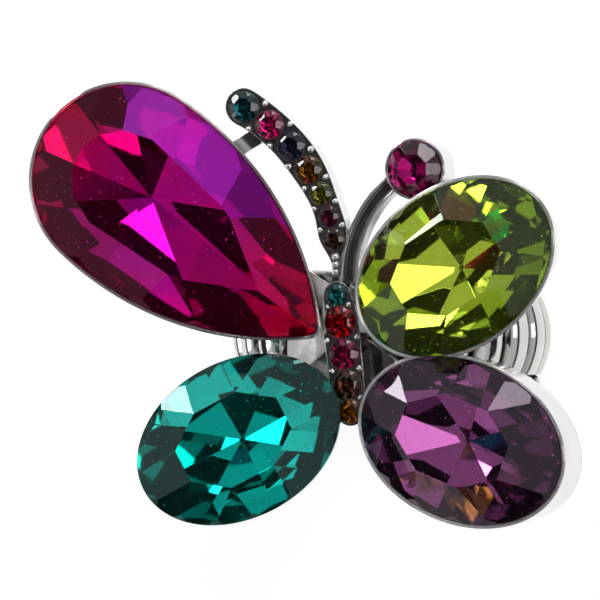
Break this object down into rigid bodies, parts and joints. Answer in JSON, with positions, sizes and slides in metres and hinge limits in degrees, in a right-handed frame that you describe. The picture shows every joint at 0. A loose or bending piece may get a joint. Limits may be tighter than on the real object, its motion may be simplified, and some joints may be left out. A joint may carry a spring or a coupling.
{
  "type": "stretch ring",
  "caption": "Butterfly cocktail ring: large faceted glass wing stones in cast cups, jewelled body and antennae, on an expanding finger band of barrel links.",
  "frame": {"origin": "centre of the finger bore, midway along its length", "axes": "+Y along the finger, towards the antennae; +Z from the finger out of the butterfly's face; +X towards the peridot and amethyst wings"},
  "size_m": [0.0458, 0.0369, 0.036],
  "materials": {
    "rhodium_plate": "polished rhodium-coloured plating over cast metal",
    "elastic": "clear elastic cord",
    "crimp_metal": "crimped sleeves",
    "glass_amethyst": "cut glass with a foiled back",
    "glass_blue_zircon": "cut glass with a foiled back",
    "glass_rose": "cut glass with a foiled back",
    "glass_garnet": "cut glass with a foiled back",
    "glass_navy": "cut glass with a foiled back",
    "glass_olivine": "cut glass with a foiled back",
    "glass_smoke": "cut glass with a foiled back",
    "glass_topaz": "cut glass with a foiled back",
    "glass_ruby": "cut glass with a foiled back",
    "glass_amber": "cut glass with a foiled back",
    "glass_siam": "cut glass with a foiled back",
    "glass_umber": "cut glass with a foiled back",
    "glass_fuchsia": "cut glass with a foiled back",
    "glass_peridot": "cut glass with a foiled back",
    "glass_teal": "cut glass with a foiled back"
  },
  "bodies": {
    "root": {"amethyst_cup": "rhodium_plate", "amethyst_stone": "glass_amethyst", "antenna_channel": "rhodium_plate", "antenna_stem": "rhodium_plate", "antenna_stone_blue_zircon": "glass_blue_zircon", "antenna_stone_fuchsia": "glass_rose", "antenna_stone_garnet": "glass_garnet", "antenna_stone_navy": "glass_navy", "antenna_stone_olivine": "glass_olivine", "antenna_stone_smoke": "glass_smoke", "antenna_stone_topaz": "glass_topaz", "antenna_tip_cup": "rhodium_plate", "antenna_tip_stone": "glass_ruby", "body_channel": "rhodium_plate", "body_stone_amber": "glass_amber", "body_stone_rose": "glass_rose", "body_stone_siam": "glass_siam", "body_stone_umber": "glass_umber", "body_stone_zircon": "glass_blue_zircon", "cord_crimps": "crimp_metal", "elastic_cord_lower": "elastic", "elastic_cord_upper": "elastic", "gallery_frame": "rhodium_plate", "pear_bridge": "rhodium_plate", "pear_cup": "rhodium_plate", "pear_stone": "glass_fuchsia", "peridot_bridge": "rhodium_plate", "peridot_cup": "rhodium_plate", "peridot_stone": "glass_peridot", "ring_saddle": "rhodium_plate", "teal_cup": "rhodium_plate", "teal_stone": "glass_teal"},
    "link_bottom": {"link_bottom": "rhodium_plate"},
    "link_left_1": {"link_left_1": "rhodium_plate"},
    "link_left_2": {"link_left_2": "rhodium_plate"},
    "link_left_3": {"link_left_3": "rhodium_plate"},
    "link_left_4": {"link_left_4": "rhodium_plate"},
    "link_left_5": {"link_left_5": "rhodium_plate"},
    "link_left_6": {"link_left_6": "rhodium_plate"},
    "link_left_7": {"link_left_7": "rhodium_plate"},
    "link_left_8": {"link_left_8": "rhodium_plate"},
    "link_left_9": {"link_left_9": "rhodium_plate"},
    "link_right_1": {"link_right_1": "rhodium_plate"},
    "link_right_2": {"link_right_2": "rhodium_plate"},
    "link_right_3": {"link_right_3": "rhodium_plate"},
    "link_right_4": {"link_right_4": "rhodium_plate"},
    "link_right_5": {"link_right_5": "rhodium_plate"},
    "link_right_6": {"link_right_6": "rhodium_plate"},
    "link_right_7": {"link_right_7": "rhodium_plate"},
    "link_right_8": {"link_right_8": "rhodium_plate"},
    "link_right_9": {"link_right_9": "rhodium_plate"}
  },
  "joints": [
    {"name": "band_stretch", "type": "slide", "parent": "root", "child": "link_bottom", "axis": [0, 0, -1], "range_m": [0, 0.00279], "stiffness_N_per_m": 600, "deforming": ["elastic_cord_upper", "elastic_cord_lower"]},
    {"name": "right_1_stretch", "type": "slide", "parent": "root", "child": "link_right_1", "axis": [0.8717, 0, -0.4901], "range_m": [0, 0.0002398]},
    {"name": "left_1_stretch", "type": "slide", "parent": "root", "child": "link_left_1", "axis": [-0.8717, 0, -0.4901], "range_m": [0, 0.0002398]},
    {"name": "right_2_stretch", "type": "slide", "parent": "root", "child": "link_right_2", "axis": [0.8087, 0, -0.5882], "range_m": [0, 0.0007062]},
    {"name": "left_2_stretch", "type": "slide", "parent": "root", "child": "link_left_2", "axis": [-0.8087, 0, -0.5882], "range_m": [0, 0.0007062]},
    {"name": "right_3_stretch", "type": "slide", "parent": "root", "child": "link_right_3", "axis": [0.7346, 0, -0.6785], "range_m": [0, 0.00115]},
    {"name": "left_3_stretch", "type": "slide", "parent": "root", "child": "link_left_3", "axis": [-0.7346, 0, -0.6785], "range_m": [0, 0.00115]},
    {"name": "right_4_stretch", "type": "slide", "parent": "root", "child": "link_right_4", "axis": [0.6501, 0, -0.7598], "range_m": [0, 0.00155]},
    {"name": "left_4_stretch", "type": "slide", "parent": "root", "child": "link_left_4", "axis": [-0.6501, 0, -0.7598], "range_m": [0, 0.00155]},
    {"name": "right_5_stretch", "type": "slide", "parent": "root", "child": "link_right_5", "axis": [0.5565, 0, -0.8308], "range_m": [0, 0.00191]},
    {"name": "left_5_stretch", "type": "slide", "parent": "root", "child": "link_left_5", "axis": [-0.5565, 0, -0.8308], "range_m": [0, 0.00191]},
    {"name": "right_6_stretch", "type": "slide", "parent": "root", "child": "link_right_6", "axis": [0.455, 0, -0.8905], "range_m": [0, 0.00222]},
    {"name": "left_6_stretch", "type": "slide", "parent": "root", "child": "link_left_6", "axis": [-0.455, 0, -0.8905], "range_m": [0, 0.00222]},
    {"name": "right_7_stretch", "type": "slide", "parent": "root", "child": "link_right_7", "axis": [0.3471, 0, -0.9378], "range_m": [0, 0.00246]},
    {"name": "left_7_stretch", "type": "slide", "parent": "root", "child": "link_left_7", "axis": [-0.3471, 0, -0.9378], "range_m": [0, 0.00246]},
    {"name": "right_8_stretch", "type": "slide", "parent": "root", "child": "link_right_8", "axis": [0.2342, 0, -0.9722], "range_m": [0, 0.00264]},
    {"name": "left_8_stretch", "type": "slide", "parent": "root", "child": "link_left_8", "axis": [-0.2342, 0, -0.9722], "range_m": [0, 0.00264]},
    {"name": "right_9_stretch", "type": "slide", "parent": "root", "child": "link_right_9", "axis": [0.1179, 0, -0.993], "range_m": [0, 0.00275]},
    {"name": "left_9_stretch", "type": "slide", "parent": "root", "child": "link_left_9", "axis": [-0.1179, 0, -0.993], "range_m": [0, 0.00275]}
  ],
  "couplings": [
    {"joint": "right_1_stretch", "follows": "band_stretch", "ratio": 0.086016},
    {"joint": "left_1_stretch", "follows": "band_stretch", "ratio": 0.086016},
    {"joint": "right_2_stretch", "follows": "band_stretch", "ratio": 0.25344},
    {"joint": "left_2_stretch", "follows": "band_stretch", "ratio": 0.25344},
    {"joint": "right_3_stretch", "follows": "band_stretch", "ratio": 0.41154},
    {"joint": "left_3_stretch", "follows": "band_stretch", "ratio": 0.41154},
    {"joint": "right_4_stretch", "follows": "band_stretch", "ratio": 0.5567},
    {"joint": "left_4_stretch", "follows": "band_stretch", "ratio": 0.5567},
    {"joint": "right_5_stretch", "follows": "band_stretch", "ratio": 0.68559},
    {"joint": "left_5_stretch", "follows": "band_stretch", "ratio": 0.68559},
    {"joint": "right_6_stretch", "follows": "band_stretch", "ratio": 0.7953},
    {"joint": "left_6_stretch", "follows": "band_stretch", "ratio": 0.7953},
    {"joint": "right_7_stretch", "follows": "band_stretch", "ratio": 0.88331},
    {"joint": "left_7_stretch", "follows": "band_stretch", "ratio": 0.88331},
    {"joint": "right_8_stretch", "follows": "band_stretch", "ratio": 0.94764},
    {"joint": "left_8_stretch", "follows": "band_stretch", "ratio": 0.94764},
    {"joint": "right_9_stretch", "follows": "band_stretch", "ratio": 0.98684},
    {"joint": "left_9_stretch", "follows": "band_stretch", "ratio": 0.98684}
  ]
}
